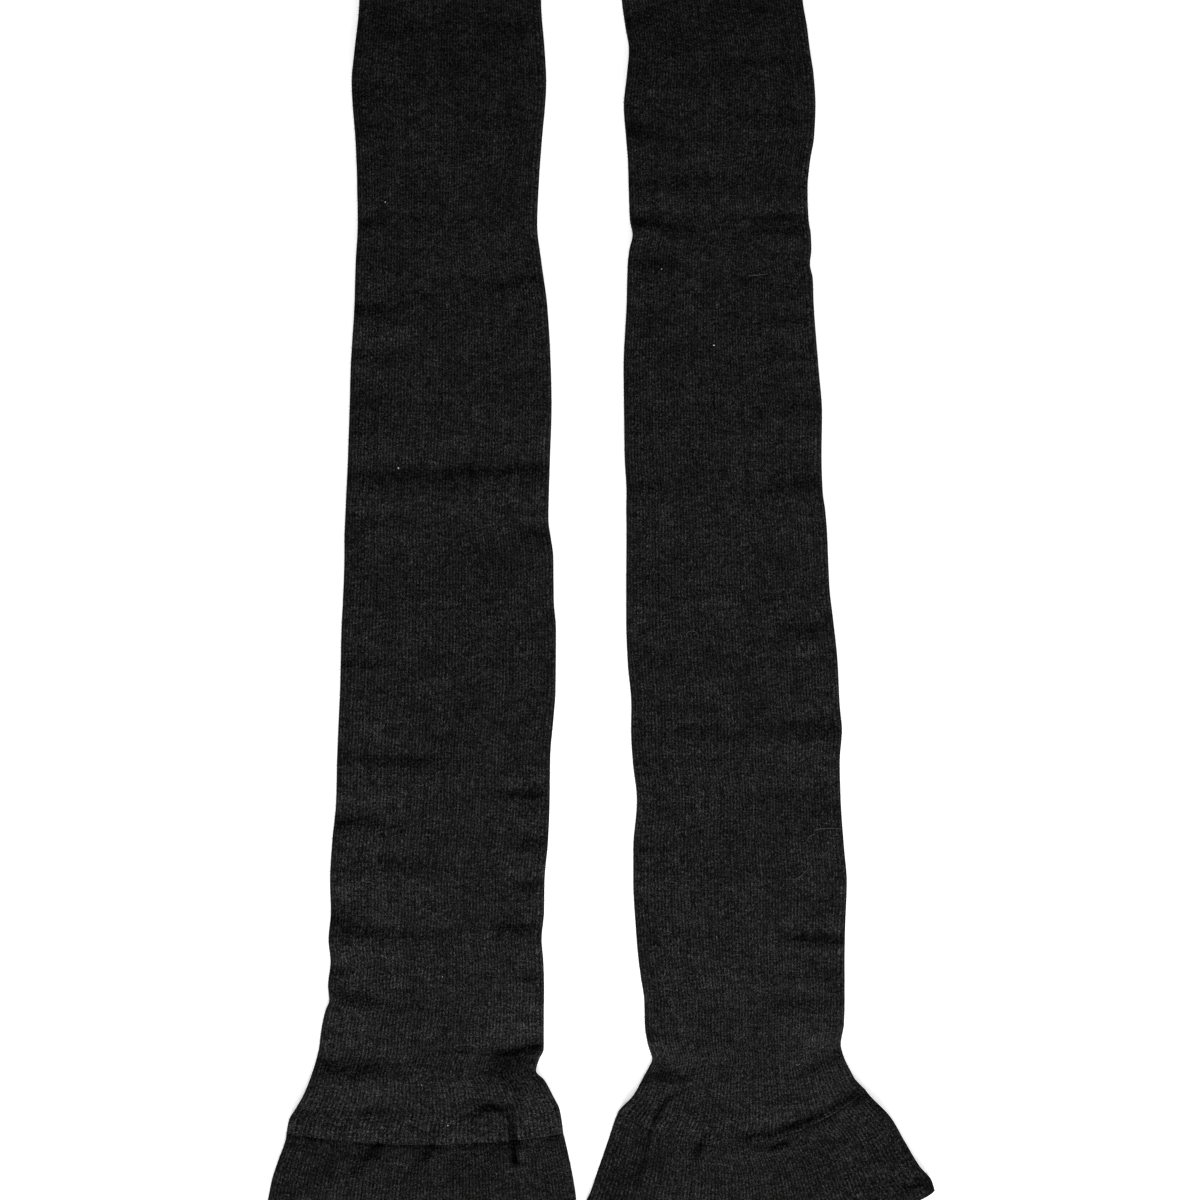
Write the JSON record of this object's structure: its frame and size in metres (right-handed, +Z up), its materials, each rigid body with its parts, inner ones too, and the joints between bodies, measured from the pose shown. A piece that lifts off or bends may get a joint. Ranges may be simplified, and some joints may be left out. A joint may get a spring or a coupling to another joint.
{
  "type": "pair of over-the-calf socks",
  "caption": "Long knitted socks laid flat side by side, each a flattened tube with a flared turned welt, a heel pocket folded under the ankle and a closed toe.",
  "frame": {"origin": "on the surface that the socks lie on, under the middle of the pair's bounding box", "axes": "+Y along the socks towards the toes, +X across the pair from the left sock to the right one as seen from above with the toes pointing away, +Z up out of the surface"},
  "size_m": [0.2766, 0.6124, 0.0082],
  "materials": {
    "knit": "matt fine-gauge knit in heathered charcoal yarn, with a slight nap",
    "reinforced_knit": "the same knit, plated with a second yarn and a little denser and darker"
  },
  "bodies": {
    "root": {"left_welt": "knit", "left_leg": "knit", "left_heel": "reinforced_knit", "left_foot": "knit", "left_toe": "reinforced_knit", "right_welt": "knit", "right_leg": "knit", "right_heel": "reinforced_knit", "right_foot": "knit", "right_toe": "reinforced_knit"}
  },
  "joints": []
}
